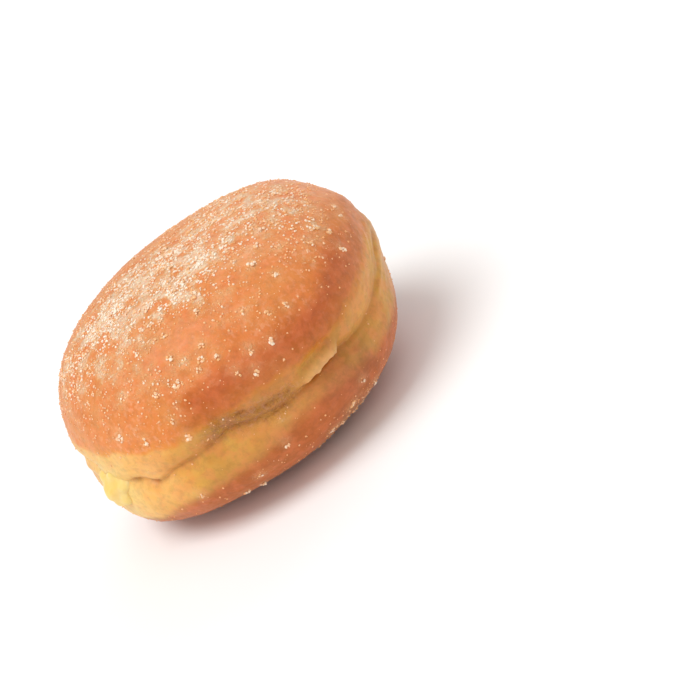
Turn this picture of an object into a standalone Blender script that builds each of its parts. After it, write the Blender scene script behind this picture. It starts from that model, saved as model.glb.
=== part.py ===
"""Mini berliner doughnut: one ball of fried dough with its pale belt and crease, sugar grains on the
crust, and custard that fills the middle and shows at the hole it was piped through.

Metres, +Z up. It lies on its underside, with the origin at the middle of the flat spot it rests on.
Turns are in degrees about the upright axis, from +X towards +Y. Lifts are in degrees above the seam.
"""

import math
import random

import bmesh
import bpy
from mathutils import Matrix, Vector, noise

MILLIMETRE = 0.001
COLLECTION_NAME = "mini_berliner_doughnut"
CUTTER_COLLECTION_NAME = "cutters"

# Body of the dough
WIDTH = 0.060
RISE = 0.0208
DROP = 0.0153
FULLNESS_ABOVE = 2.9
FULLNESS_BELOW = 2.95
REST_CUT = 0.0004
SEAM_OFFSET = Vector((0.0027, -0.0005))
TOP_LEAN = Vector((0.0017, -0.0002))
GRID_CUTS = 21
SEAM_ROW_CROWDING = 0.3

# Unevenness of the hand-shaped ball
SWELL_DEPTH = 0.00035
SWELL_SCALE = 1.7
RIPPLE_DEPTH = 0.00012
RIPPLE_SCALE = 6.0
UNEVEN_SEED = Vector((3.1, 7.4, 1.9))

# Broad dents and bulges: turn, lift, reach in degrees, height in millimetres
LUMPS = (
    (184.0, 6.0, 17.0, 0.50),
    (204.0, -30.0, 15.0, 0.40),
    (228.0, -26.0, 14.0, 0.30),
    (251.0, -46.0, 13.0, -0.55),
    (303.0, -32.0, 14.0, 0.30),
    (325.0, -38.0, 12.0, 0.30),
    (344.0, -17.0, 12.0, -0.45),
    (354.0, 19.0, 14.0, 0.70),
    (262.0, 22.0, 15.0, 0.30),
    (39.0, 82.0, 15.0, -0.50),
    (75.0, -20.0, 24.0, 0.40),
    (128.0, 24.0, 18.0, -0.30),
)

# Course of the seam: turn in degrees, then height, crease depth, crease half width and waist depth in
# millimetres, with the height counted from the seam's mean level
SEAM_COURSE = (
    (0.0, 3.6, 0.5, 0.60, 0.3),
    (35.0, 2.6, 0.6, 0.60, 0.5),
    (70.0, 1.6, 0.9, 0.90, 0.8),
    (105.0, 2.0, 0.6, 0.60, 0.7),
    (140.0, 0.9, 0.7, 0.60, 0.5),
    (172.0, 0.3, 0.5, 0.60, 0.2),
    (203.0, -0.4, 0.3, 0.60, 0.0),
    (218.0, 0.1, 0.6, 0.45, 0.3),
    (225.0, -0.8, 0.7, 0.45, 0.5),
    (233.0, 0.3, 0.7, 0.45, 0.6),
    (245.0, 1.0, 0.8, 0.60, 0.8),
    (254.0, 1.3, 1.0, 0.80, 1.0),
    (263.0, 1.0, 1.3, 1.20, 1.1),
    (272.0, 0.2, 1.3, 1.10, 1.1),
    (281.0, -0.2, 1.2, 0.70, 1.0),
    (294.0, 0.1, 1.2, 0.55, 0.8),
    (304.0, 0.4, 0.9, 0.45, 0.6),
    (316.0, 1.0, 0.9, 0.55, 0.5),
    (330.0, 3.0, 0.7, 0.60, 0.3),
    (345.0, 4.2, 0.6, 0.60, 0.3),
)
WAIST_HALF_HEIGHT = 0.0036

# Lip of dough that hangs over the crease
LIP_START = 276.0
LIP_FULL = 284.0
LIP_BREAK = 293.6
LIP_END = 296.0
LIP_HEIGHT = 0.0011
LIP_HALF_HEIGHT = 0.0010
LIP_OUT = 0.0010
LIP_HANG = 0.0007

# Custard: the pocket in the middle, the neck to the hole and the dab that shows
HOLE_TURN = 203.0
HOLE_LIFT = -2.0
POCKET_RADII = Vector((0.0125, 0.0115, 0.0055))
NECK_ROOT_RADIUS = 0.0026
NECK_TIP_RADIUS = 0.0023
DAB_RADII = Vector((0.0026, 0.0034, 0.0031))
DAB_SUNK = 0.0011
DRIP_RADII = Vector((0.0013, 0.0016, 0.0016))
DRIP_DROP = 0.0022
DRIP_SUNK = 0.0002
CUSTARD_SEGMENTS = 20
CUSTARD_RINGS = 12
CUSTARD_GAP = 0.0004

# Sugar grains fused to the crust: turn, lift, spread in degrees, share of the grains
SUGAR_PATCHES = (
    (275.0, 62.0, 15.0, 0.24),
    (208.0, 60.0, 9.0, 0.08),
    (243.0, 31.0, 9.0, 0.10),
    (276.0, 27.0, 6.0, 0.07),
    (318.0, 36.0, 9.0, 0.07),
    (298.0, -37.0, 9.0, 0.07),
    (262.0, -26.0, 6.0, 0.03),
    (60.0, 48.0, 16.0, 0.10),
    (128.0, 34.0, 12.0, 0.07),
    (20.0, 24.0, 10.0, 0.04),
    (110.0, -30.0, 14.0, 0.04),
    (180.0, 80.0, 60.0, 0.09),
)
SUGAR_SEED = 41
GRAIN_COUNT = 110
GRAIN_RADII = (0.00045, 0.00085)
GRAIN_SQUASH = 0.75
GRAIN_JITTER = 0.22
GRAIN_LIFT = 0.15
GRAIN_SPACING = 1.25
GRAIN_FLOOR_CLEARANCE = 0.0020
GRAIN_CREASE_CLEARANCE = 0.0022
GRAIN_HOLE_CLEARANCE = 0.0065
TRIES_PER_GRAIN = 60

CRUST_COLOUR = (0.72, 0.30, 0.09, 1.0)
CRUST_ROUGHNESS = 0.55
CUSTARD_COLOUR = (0.93, 0.66, 0.15, 1.0)
CUSTARD_ROUGHNESS = 0.35


def clear_scene():
    """Remove every object that the scene starts with."""
    for thing in list(bpy.data.objects):
        bpy.data.objects.remove(thing, do_unlink=True)


def new_collection(name):
    collection = bpy.data.collections.new(name)
    bpy.context.scene.collection.children.link(collection)
    return collection


def new_material(name, colour, roughness):
    material = bpy.data.materials.new(name)
    material.use_nodes = True
    shader = material.node_tree.nodes["Principled BSDF"]
    shader.inputs["Base Color"].default_value = colour
    shader.inputs["Roughness"].default_value = roughness
    shader.inputs["Metallic"].default_value = 0.0
    return material


def new_object(name, mesh_builder, collection, material=None):
    """Turn a bmesh into a named object and free the bmesh."""
    mesh = bpy.data.meshes.new(name)
    mesh_builder.to_mesh(mesh)
    mesh_builder.free()
    thing = bpy.data.objects.new(name, mesh)
    if material:
        mesh.materials.append(material)
    collection.objects.link(thing)
    return thing


def apply_modifiers(thing):
    """Put the evaluated mesh in the place of the object's own and drop its modifiers."""
    graph = bpy.context.evaluated_depsgraph_get()
    mesh = bpy.data.meshes.new_from_object(thing.evaluated_get(graph))
    thing.modifiers.clear()
    thing.data = mesh


def smoothstep(low, high, value):
    share = min(1.0, max(0.0, (value - low) / (high - low)))
    return share * share * (3.0 - 2.0 * share)


def course_at(turn):
    """Height, crease depth, crease half width and waist depth of the seam, in metres, at a turn."""
    turn = turn % 360.0
    count = len(SEAM_COURSE)
    after = next((i for i, row in enumerate(SEAM_COURSE) if row[0] > turn), count)
    rows = []
    for step in (-2, -1, 0, 1):
        laps, index = divmod(after + step, count)
        row = SEAM_COURSE[index]
        rows.append((row[0] + 360.0 * laps,) + row[1:])
    before, start, end, beyond = rows
    span = end[0] - start[0]
    share = (turn - start[0]) / span
    values = []
    for column in range(1, len(start)):
        slope_start = (end[column] - before[column]) / (end[0] - before[0]) * span
        slope_end = (beyond[column] - start[column]) / (beyond[0] - start[0]) * span
        blend = share * share * (3.0 - 2.0 * share)
        value = start[column] * (1.0 - blend) + end[column] * blend
        value += share * (1.0 - share) * ((1.0 - share) * slope_start - share * slope_end)
        values.append(value * MILLIMETRE)
    return values


def plain_radius(height):
    """Half width of the plain round body at a height from the seam's mean level."""
    reach, fullness = (RISE, FULLNESS_ABOVE) if height > 0.0 else (DROP, FULLNESS_BELOW)
    share = min(1.0, abs(height) / reach)
    return WIDTH / 2.0 * (1.0 - share**fullness) ** (1.0 / fullness)


def direction_at(turn, lift):
    turn, lift = math.radians(turn), math.radians(lift)
    return Vector((math.cos(turn) * math.cos(lift), math.sin(turn) * math.cos(lift), math.sin(lift)))


def lump_height(direction):
    """How far the broad dents and bulges push the surface out, in metres."""
    total = 0.0
    for turn, lift, reach, height in LUMPS:
        angle = math.degrees(direction.angle(direction_at(turn, lift)))
        total += height * MILLIMETRE * math.exp(-((angle / reach) ** 2))
    return total


def lip_share(turn):
    """How much of the hanging lip there is at a turn: it swells slowly and breaks off at once."""
    turn = turn % 360.0
    return smoothstep(LIP_START, LIP_FULL, turn) * (1.0 - smoothstep(LIP_BREAK, LIP_END, turn))


def dough_point(direction):
    """The point of the dough's surface in a direction from the middle of the seam."""
    direction = direction.normalized()
    flat = math.hypot(direction.x, direction.y)
    turn = math.degrees(math.atan2(direction.y, direction.x))
    reach, fullness = (RISE, FULLNESS_ABOVE) if direction.z > 0.0 else (DROP, FULLNESS_BELOW)
    scale = (flat**fullness + abs(direction.z) ** fullness) ** (-1.0 / fullness)
    radius = WIDTH / 2.0 * flat * scale
    level = reach * direction.z * scale

    # The rows of the mesh follow the seam up and down, and the body keeps its outline
    seam_height, crease_depth, crease_half_width, waist_depth = course_at(turn)
    height = level + seam_height * (1.0 - (level / reach) ** 2) ** 2
    radius += plain_radius(height) - plain_radius(level)
    above = height - seam_height
    radius -= waist_depth * math.exp(-((above / WAIST_HALF_HEIGHT) ** 2))
    radius -= crease_depth * math.exp(-abs(above) / crease_half_width)
    lip = lip_share(turn) * math.exp(-(((above - LIP_HEIGHT) / LIP_HALF_HEIGHT) ** 2))
    radius += LIP_OUT * lip
    height -= LIP_HANG * lip

    swell = SWELL_DEPTH * noise.noise(direction * SWELL_SCALE + UNEVEN_SEED)
    ripple = RIPPLE_DEPTH * noise.noise(direction * RIPPLE_SCALE + UNEVEN_SEED)
    push = swell + ripple + lump_height(direction)
    radius += push * flat
    height += push * direction.z

    offset = SEAM_OFFSET + TOP_LEAN * (height / RISE) if height > 0.0 else SEAM_OFFSET * (1.0 + height / DROP)
    turn = math.radians(turn)
    floor_level = REST_CUT - DROP
    return Vector((
        radius * math.cos(turn) + offset.x,
        radius * math.sin(turn) + offset.y,
        max(0.0, height - floor_level),
    ))


def dough_frame(turn, lift):
    """A point of the surface with its outward direction and two directions along it."""
    step = 0.5
    point = dough_point(direction_at(turn, lift))
    across = dough_point(direction_at(turn + step, lift)) - dough_point(direction_at(turn - step, lift))
    upward = dough_point(direction_at(turn, lift + step)) - dough_point(direction_at(turn, lift - step))
    outward = across.cross(upward).normalized()
    across.normalize()
    return point, outward, across, outward.cross(across)


def crowd_towards_seam(value):
    return value * (SEAM_ROW_CROWDING + (1.0 - SEAM_ROW_CROWDING) * value * value)


def build_dough(collection, material):
    """A cube with many cuts, blown up into the ball: its side rows crowd towards the seam."""
    builder = bmesh.new()
    bmesh.ops.create_cube(builder, size=2.0)
    bmesh.ops.subdivide_edges(builder, edges=builder.edges[:], cuts=GRID_CUTS, use_grid_fill=True)
    for vert in builder.verts:
        x, y = (math.tan(value * math.pi / 4.0) for value in vert.co.xy)
        vert.co = dough_point(Vector((x, y, crowd_towards_seam(vert.co.z))))
    bmesh.ops.triangulate(builder, faces=builder.faces[:])
    dough = new_object("dough", builder, collection, material)
    dough.data.shade_smooth()
    return dough


def ball(name, collection, middle, radii, axes):
    """A ball squashed to three radii along three axes."""
    builder = bmesh.new()
    bmesh.ops.create_uvsphere(builder, u_segments=CUSTARD_SEGMENTS, v_segments=CUSTARD_RINGS, radius=1.0)
    turned = Matrix(axes).transposed().to_4x4()
    bmesh.ops.transform(
        builder, verts=builder.verts, matrix=Matrix.Translation(middle) @ turned @ Matrix.Diagonal(radii).to_4x4()
    )
    return new_object(name, builder, collection)


def tapered_rod(name, collection, start, end, start_radius, end_radius):
    builder = bmesh.new()
    run = end - start
    bmesh.ops.create_cone(
        builder,
        cap_ends=True,
        segments=CUSTARD_SEGMENTS,
        radius1=start_radius,
        radius2=end_radius,
        depth=run.length,
    )
    turned = run.to_track_quat("Z", "Y").to_matrix().to_4x4()
    bmesh.ops.transform(builder, verts=builder.verts, matrix=Matrix.Translation((start + end) / 2.0) @ turned)
    return new_object(name, builder, collection)


def join_solid(thing, others, operation="UNION"):
    """Boolean a whole collection of objects onto one and remove them."""
    modifier = thing.modifiers.new("join", "BOOLEAN")
    modifier.operation = operation
    modifier.operand_type = "COLLECTION"
    modifier.collection = others
    apply_modifiers(thing)
    for other in list(others.objects):
        bpy.data.objects.remove(other, do_unlink=True)
    bpy.data.collections.remove(others)


def build_custard(name, collection, grow):
    """The pocket, neck, dab and drip as one solid, each grown by the same amount."""
    growth = Vector((grow, grow, grow))
    hole, outward, across, upward = dough_frame(HOLE_TURN, HOLE_LIFT)
    middle = Vector((SEAM_OFFSET.x, SEAM_OFFSET.y, hole.z))
    down = -upward
    upright = (Vector((1, 0, 0)), Vector((0, 1, 0)), Vector((0, 0, 1)))
    skin = (outward, across, upward)
    dab_middle = hole - outward * DAB_SUNK
    drip_middle = hole + down * DRIP_DROP - outward * DRIP_SUNK

    pieces = new_collection(name + "_pieces")
    tapered_rod(name + "_neck", pieces, middle, dab_middle, NECK_ROOT_RADIUS + grow, NECK_TIP_RADIUS + grow)
    ball(name + "_dab", pieces, dab_middle, DAB_RADII + growth, skin)
    ball(name + "_drip", pieces, drip_middle, DRIP_RADII + growth, skin)
    custard = ball(name, collection, middle, POCKET_RADII + growth, upright)
    join_solid(custard, pieces)
    return custard


def cut_pocket(dough, cutters):
    """Hollow the dough for the custard, with a narrow gap all round."""
    cutter = build_custard("custard_pocket", cutters, CUSTARD_GAP)
    cutter.hide_render = True
    cutter.display_type = "WIRE"
    modifier = dough.modifiers.new("pocket", "BOOLEAN")
    modifier.operation = "DIFFERENCE"
    modifier.object = cutter
    apply_modifiers(dough)


def sugar_places(draw):
    """Turns, lifts and radii of the grains, patch by patch, with no two touching."""
    hole = dough_point(direction_at(HOLE_TURN, HOLE_LIFT))
    places = []
    for turn, lift, spread, share in SUGAR_PATCHES:
        wanted = len(places) + round(GRAIN_COUNT * share)
        for _ in range(TRIES_PER_GRAIN * GRAIN_COUNT):
            if len(places) >= wanted:
                break
            grain_lift = draw.gauss(lift, spread)
            grain_turn = draw.gauss(turn, spread / max(0.2, math.cos(math.radians(lift))))
            radius = draw.uniform(*GRAIN_RADII)
            point = dough_point(direction_at(grain_turn, grain_lift))
            seam_level = course_at(grain_turn)[0] + DROP - REST_CUT
            clear = (
                abs(grain_lift) < 90.0
                and point.z > GRAIN_FLOOR_CLEARANCE
                and abs(point.z - seam_level) > GRAIN_CREASE_CLEARANCE
                and (point - hole).length > GRAIN_HOLE_CLEARANCE
                and all((point - other).length > GRAIN_SPACING * (radius + size) for other, size, *_ in places)
            )
            if clear:
                places.append((point, radius, grain_turn, grain_lift))
    return places


def add_sugar(dough):
    """Fuse small crystals, half sunk in the crust, to the dough."""
    draw = random.Random(SUGAR_SEED)
    grains = new_collection("sugar_grains")
    for _, radius, turn, lift in sugar_places(draw):
        point, outward, across, upward = dough_frame(turn, lift)
        builder = bmesh.new()
        bmesh.ops.create_icosphere(builder, subdivisions=1, radius=radius)
        for vert in builder.verts:
            vert.co *= 1.0 + draw.uniform(-GRAIN_JITTER, GRAIN_JITTER)
            vert.co.z *= GRAIN_SQUASH
        spin = Matrix.Rotation(draw.uniform(0.0, math.tau), 4, "Z")
        axes = Matrix((across, upward, outward)).transposed().to_4x4()
        middle = Matrix.Translation(point + outward * radius * GRAIN_LIFT)
        bmesh.ops.transform(builder, verts=builder.verts, matrix=middle @ axes @ spin)
        new_object("grain", builder, grains)
    join_solid(dough, grains)


def main():
    clear_scene()
    parts = new_collection(COLLECTION_NAME)
    cutters = new_collection(CUTTER_COLLECTION_NAME)
    crust = new_material("crust", CRUST_COLOUR, CRUST_ROUGHNESS)
    filling = new_material("custard", CUSTARD_COLOUR, CUSTARD_ROUGHNESS)

    dough = build_dough(parts, crust)
    add_sugar(dough)
    cut_pocket(dough, cutters)
    custard = build_custard("custard", parts, 0.0)
    custard.data.materials.append(filling)
    custard.data.shade_smooth()


main()
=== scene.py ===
"""The looks of a mini berliner doughnut: a browned crust with a pale belt and a crease, sugar that
clings to it in drifts, and custard that wells out of the hole it was piped through.

Laid out as an add-on and run as a script. Metres, +Z up, origin at the middle of the underside.
Turns are in degrees about the upright axis, from +X towards +Y. Lifts are in degrees above the seam.
"""

import math
import random
from collections import defaultdict

import bmesh
import bpy
from bpy.props import FloatProperty, FloatVectorProperty, IntProperty, PointerProperty
from mathutils import Matrix, Vector, noise
from mathutils.kdtree import KDTree


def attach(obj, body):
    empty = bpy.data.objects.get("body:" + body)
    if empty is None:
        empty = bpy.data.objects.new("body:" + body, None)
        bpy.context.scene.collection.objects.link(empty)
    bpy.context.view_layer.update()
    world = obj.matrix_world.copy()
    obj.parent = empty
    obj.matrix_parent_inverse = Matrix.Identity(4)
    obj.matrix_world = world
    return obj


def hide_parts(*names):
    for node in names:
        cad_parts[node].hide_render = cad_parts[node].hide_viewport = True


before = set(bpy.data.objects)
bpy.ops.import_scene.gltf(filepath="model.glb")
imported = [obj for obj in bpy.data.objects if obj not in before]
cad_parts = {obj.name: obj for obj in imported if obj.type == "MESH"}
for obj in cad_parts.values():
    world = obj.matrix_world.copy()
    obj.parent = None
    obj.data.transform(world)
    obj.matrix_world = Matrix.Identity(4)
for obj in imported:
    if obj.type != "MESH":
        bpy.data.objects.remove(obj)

bl_info = {
    "name": "Mini berliner doughnut",
    "version": (1, 0, 0),
    "blender": (4, 5, 0),
    "location": "3D View > Sidebar > Berliner",
    "description": "Builds a small sugared doughnut with custard showing at its filling hole",
    "category": "Add Mesh",
}

BODY = "root"
MILLIMETRE = 0.001

# Body of the dough, as in the frame's solid
WIDTH = 0.060
RISE = 0.0208
DROP = 0.0153
FULLNESS_ABOVE = 2.9
FULLNESS_BELOW = 2.95
REST_CUT = 0.0004
SEAM_OFFSET = Vector((0.0027, -0.0005))
TOP_LEAN = Vector((0.0017, -0.0002))
SEAM_ROW_CROWDING = 0.3
SWELL_DEPTH = 0.00035
SWELL_SCALE = 1.7
RIPPLE_DEPTH = 0.00012
RIPPLE_SCALE = 6.0
UNEVEN_SEED = Vector((3.1, 7.4, 1.9))
OCTAVE_RATIO = 2.0

# Broad dents and bulges: turn, lift, reach in degrees, height in millimetres
LUMPS = (
    (184, 6, 17, 0.5),
    (204, -30, 15, 0.4),
    (228, -26, 14, 0.3),
    (251, -46, 13, -0.55),
    (303, -32, 14, 0.3),
    (325, -38, 12, 0.3),
    (344, -17, 12, -0.45),
    (354, 19, 14, 0.7),
    (262, 22, 15, 0.3),
    (39, 82, 15, -0.5),
    (75, -20, 24, 0.4),
    (128, 24, 18, -0.3),
)

# Bulges and dents that only the fine surface has, in the same units
FINE_LUMPS = (
    (20, 46, 14, 0.7),
    (354, 3, 6.5, 0.5),
    (346, -6, 5, 0.35),
    (72, 57, 14, -0.35),
)

# Course of the seam: turn in degrees, then height, crease depth, crease half width and waist depth in
# millimetres, with the height counted from the seam's mean level
SEAM_COURSE = (
    (0, 3.6, 0.5, 0.6, 0.3),
    (35, 2.6, 0.6, 0.6, 0.5),
    (70, 1.6, 0.9, 0.9, 0.8),
    (105, 2.0, 0.6, 0.6, 0.7),
    (140, 0.9, 0.7, 0.6, 0.5),
    (172, 0.3, 0.5, 0.6, 0.2),
    (203, -0.4, 0.3, 0.6, 0.0),
    (218, 0.1, 0.6, 0.45, 0.3),
    (225, -0.8, 0.7, 0.45, 0.5),
    (233, 0.3, 0.7, 0.45, 0.6),
    (245, 1.0, 0.8, 0.6, 0.8),
    (254, 1.3, 1.0, 0.8, 1.0),
    (263, 1.0, 1.3, 1.2, 1.1),
    (272, 0.2, 1.3, 1.1, 1.1),
    (281, -0.2, 1.2, 0.7, 1.0),
    (294, 0.1, 1.2, 0.55, 0.8),
    (304, 0.4, 0.9, 0.45, 0.6),
    (316, 1.0, 0.9, 0.55, 0.5),
    (330, 3.0, 0.7, 0.6, 0.3),
    (345, 4.2, 0.6, 0.6, 0.3),
)
WAIST_HALF_HEIGHT = 0.0036
# How far from the seam the crease's painted shade reaches
CREASE_SHADE_REACH = 0.0006

# How the fine surface's crease differs from the solid's: turn in degrees, then in millimetres how much
# higher, deeper and wider it is
CREASE_CHANGES = (
    (0, 0.0, 0.0, 0.0),
    (70, 0.0, 0.0, 0.0),
    (140, 0.0, 0.0, 0.0),
    (203, -0.2, 0.0, 0.0),
    (218, -0.6, 0.5, 0.15),
    (225, -0.7, 0.1, 0.05),
    (233, -0.6, 0.0, 0.0),
    (245, -0.5, 0.0, -0.1),
    (255, 0.1, 0.0, -0.25),
    (264, -0.9, 0.0, -0.55),
    (272, -0.9, 0.0, -0.45),
    (281, -0.3, 0.0, 0.0),
    (290, 0.3, 0.1, 0.2),
    (296, 0.0, 0.2, 0.4),
    (304, -0.9, 0.6, 0.55),
    (315, -1.2, 0.1, 0.5),
    (330, -0.9, -0.3, 0.2),
    (345, 0.9, -0.1, 0.0),
    (354, 0.4, -0.3, 0.0),
)

# Soft forms beside the seam: the four turns where each starts, is full, fades and ends, its height above
# the seam and its half height
LIP = ((276.0, 284.0, 293.6, 296.0), 0.0011, 0.0010)
LIP_OUT = 0.0010
LIP_HANG = 0.0007
FULL_BELT = ((328.0, 346.0, 357.0, 378.0), -0.0006, 0.0026)
FULL_BELT_OUT = 0.0008
TUCK = ((160.0, 180.0, 192.0, 206.0), 0.0029, 0.0013)
TUCK_DEPTH = 0.0009

# Lip of the fine surface, torn at its edge, and the valley above it. The slant is in degrees a metre
TORN_LIP_TURNS = (277.0, 284.0, 293.4, 295.6)
TORN_LIP_HEIGHT = 0.0009
TORN_LIP_HALF_HEIGHT = 0.0007
TORN_LIP_UNDERCUT = 0.00042
TORN_LIP_OUT = 0.0012
TORN_LIP_HANG = 0.0007
TORN_LIP_SLANT = 1400.0
TORN_LIP_WAVES = 0.4
TORN_LIP_WAVES_A_DEGREE = 0.35
LIP_VALLEY = (TORN_LIP_TURNS, 0.0025, 0.0007)
LIP_VALLEY_DEPTH = 0.0007

# Fine relief of the skin
CREASE_SHARE = 0.8
CREASE_ROUNDING = 0.0003
PIT_TURNS = (214.9, 222.9, 285.5, 290.5)
PIT_REACH = 1.7
PIT_DEPTH = 0.0006
PIT_HALF_HEIGHT = 0.0005
# How much darker the crease's painted shade is at the pits
PIT_SHADE = 1.2
WRINKLE_DEPTH = 0.00016
WRINKLE_HALF_HEIGHT = 0.0034
WRINKLES_ROUND = 9.0
WRINKLES_PER_MILLIMETRE = 1.1
CRUMB = ((242.0, 253.0, 273.0, 282.0), 0.0012, 0.0018)
CRUMB_DEPTH = 0.00040
CRUMB_SCALE = 16.0
LEAST_CRUMB = 0.01
CRACK_TURNS = (252.0, 259.0, 275.0, 279.0)
CRACK_HEIGHT = 0.0021
CRACK_HALF_HEIGHT = 0.0006
CRACK_DEPTH = 0.0005
CRACK_WANDER = 0.0007
CRACK_EVENNESS = 0.8
CRACK_PATH_TRACK = (0.22, 3.0)
CRACK_DEPTH_TRACK = (0.3, 9.0)
SKIN_DEPTH = 0.00005
SKIN_SCALE = 15.0
BLISTER_DEPTH = 0.00007
BLISTER_SCALE = 26.0

# Edges of the browned crust: turn in degrees, then in millimetres the heights of the upper and of the
# lower edge from the seam's mean level and how softly each of the two fades, and then how toasted the
# upper crust is beside its edge and the belt above and below the crease. The crust's darker toast beside
# its edge is partly real browning and partly painted shade where the crust turns down over the belt
BROWNING_COURSE = (
    (0, 6.6, -3.4, 1.6, 2.4, 0.55, 0.45, 0.45),
    (40, 5.4, -4.6, 1.4, 2.2, 0.4, 0.4, 0.4),
    (80, 5.0, -3.6, 1.0, 2.0, 0.35, 0.35, 0.35),
    (120, 5.6, -5.0, 1.2, 2.2, 0.45, 0.45, 0.45),
    (160, 5.8, -5.4, 1.2, 2.0, 0.3, 0.3, 0.3),
    (188, 6.7, -8.4, 1.1, 1.4, 0.2, 0.05, 0.05),
    (205, 5.9, -8.6, 1.0, 1.4, 0.25, 0.0, 0.0),
    (221, 5.2, -7.8, 1.0, 1.6, 0.3, 0.05, 0.0),
    (234, 4.3, -6.2, 1.2, 2.0, 0.38, 0.25, 0.15),
    (246, 4.2, -4.8, 1.5, 2.4, 0.78, 0.62, 0.65),
    (256, 3.7, -4.6, 1.4, 2.6, 0.93, 0.9, 0.68),
    (266, 4.3, -3.6, 1.2, 2.6, 0.9, 0.75, 0.6),
    (276, 3.9, -2.8, 1.3, 2.6, 0.88, 0.7, 0.75),
    (290, 2.8, -3.2, 1.2, 2.6, 0.88, 0.8, 1.0),
    (302, 3.8, -4.2, 1.3, 2.6, 0.85, 0.58, 0.85),
    (322, 5.4, -4.4, 1.6, 2.4, 0.78, 0.6, 0.6),
    (342, 6.8, -3.2, 1.6, 2.4, 0.75, 0.5, 0.5),
)
EDGE_WANDER = 0.0005
EDGE_WANDER_SCALE = 9.0
# Where the darker collar above the crust's edge starts and how far it reaches; it is partly real browning and
# partly painted shade
COLLAR_HEIGHT = 0.0015
COLLAR_REACH = 0.0060
ORANGE_REACH = 0.0034
BELT_BLEND = 0.0010
TOAST_ON_TOP = 0.30
TOAST_PATCHES = 0.22
TOAST_PATCH_SCALE = 2.6

# Custard: the pocket in the middle, the neck to the hole and the dab that shows
HOLE_TURN = 203.0
HOLE_LIFT = -2.0
POCKET_RADII = Vector((0.0125, 0.0115, 0.0055))
NECK_ROOT_RADIUS = 0.0026
NECK_TIP_RADIUS = 0.0023
DAB_RADII = Vector((0.0026, 0.0034, 0.0031))
DAB_SUNK = 0.0014
DRIP_RADII = Vector((0.0013, 0.0016, 0.0016))
DRIP_DROP = 0.0022
DRIP_SUNK = 0.0002

# Blobs that make the dab lumpy: how far across and up from the hole, how deep and how large, in
# millimetres
CUSTARD_BLOBS = (
    (-1.9, 1.4, 0.9, 1.8),
    (1.2, 1.9, 1.0, 1.8),
    (2.4, 0.4, 0.9, 1.7),
    (-2.1, -0.7, 0.8, 1.8),
    (1.4, -2.1, 0.8, 1.6),
    (0.2, -0.5, -0.6, 1.7),
    (-0.7, -2.7, 0.4, 1.2),
)
SMEAR_REACH = 0.0060
CUSTARD_SEGMENTS = 40
CUSTARD_RINGS = 24
CUSTARD_VOXEL = 0.00022
CUSTARD_SMOOTHING = 22
CUSTARD_THINNING = 0.3
CUSTARD_FOLD_DEPTH = 0.00030
CUSTARD_FOLD_SCALE = 420.0
CUSTARD_CUT_GAP = 0.00003
SHARP_RIM_ANGLE = 75.0

# Where sugar lies: turn, lift, spread in degrees, share of the grains
SUGAR_PATCHES = (
    (275, 62, 15, 0.24),
    (208, 60, 9, 0.08),
    (243, 31, 9, 0.1),
    (276, 27, 6, 0.07),
    (318, 36, 9, 0.07),
    (298, -37, 9, 0.07),
    (262, -26, 6, 0.03),
    (60, 48, 16, 0.1),
    (128, 34, 12, 0.07),
    (20, 24, 10, 0.04),
    (110, -30, 14, 0.04),
    (180, 80, 60, 0.09),
)
LUMP_SUGAR_SEED = 41
LUMP_SUGAR_COUNT = 110
LUMP_SUGAR_RADII = (0.00045, 0.00085)
GRAIN_SQUASH = 0.75
GRAIN_JITTER = 0.22
GRAIN_SPACING = 1.25
GRAIN_FLOOR_CLEARANCE = 0.0020
GRAIN_CREASE_CLEARANCE = 0.0022
GRAIN_HOLE_CLEARANCE = 0.0065
TRIES_PER_GRAIN = 60
LUMP_HALO = 0.6
LUMP_HALO_REACH = 0.0011
CRYSTALS_PER_LUMP = 7
LUMP_REACH = 0.75
LUMP_RISE = 0.5
LUMP_CRYSTAL_SHARES = (0.22, 0.42)
LUMP_WHITENESS = 0.7

# Drifts of fine sugar: turn, lift, spread in degrees, thickness
SUGAR_DRIFTS = (
    (277, 66, 6.5, 0.8),
    (303, 63, 5, 0.1),
    (257, 61, 6, 1.05),
    (232, 57, 6, 0.65),
    (197, 62, 7, 1.25),
    (215, 72, 9, 0.7),
    (270, 80, 10, 0.7),
    (150, 78, 10, 0.9),
    (340, 68, 14, 0.65),
    (20, 66, 12, 0.5),
    (341, 49, 9, 0.5),
    (315, 80, 30, 0.12),
    (271, 53, 5, 0.4),
    (240, 32, 4, 0.3),
    (274, 29, 4, 0.15),
    (277, 15, 3, 0.15),
    (323, 41, 3, 0.8),
    (311, 35, 4, 0.2),
    (302, -36, 6, 0.25),
    (290, -45, 7, 0.35),
    (261, -28, 4, 0.15),
    (249, 5, 3, 0.2),
    (251, 33, 4, 0.3),
    (245, 24, 4, 0.3),
    (165, 62, 12, 0.3),
    (187, 43, 8, 0.9),
    (212, 37, 14, 0.3),
    (236, 42, 5, 0.4),
    (216, 50, 7, 0.3),
    (277, 44, 6, 0.4),
    (315, 52, 11, 0.36),
    (271, -5, 1.6, 0.8),
    (255, 5.5, 1.6, 0.5),
    (205, 60, 4.5, 1.2),
    (279.5, 66.3, 2.5, 2.6),
    (260, 61, 2.5, 1.8),
    (304, 63, 2, 0.9),
    (251, 57, 2, 1.1),
    (209, 42, 8, 0.2),
    (60, 48, 13, 0.6),
    (128, 34, 10, 0.5),
    (20, 24, 8, 0.4),
    (110, -30, 10, 0.3),
)
DRIFT_RAGGEDNESS = 11.0
FILM_THICKNESS = 1.4
LOOSE_SHARE = 0.14
LOWEST_LOOSE_SUGAR = -0.8
LOOSE_WHITENESS = 0.3
DRIFT_WHITENESS = 0.6
BARE_BELT = (-20.0, 20.0)
BARE_BELT_SHARE = 0.25
FINE_SUGAR_SEED = 77
SMALLEST_SUGAR_RADIUS = 0.00005
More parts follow.
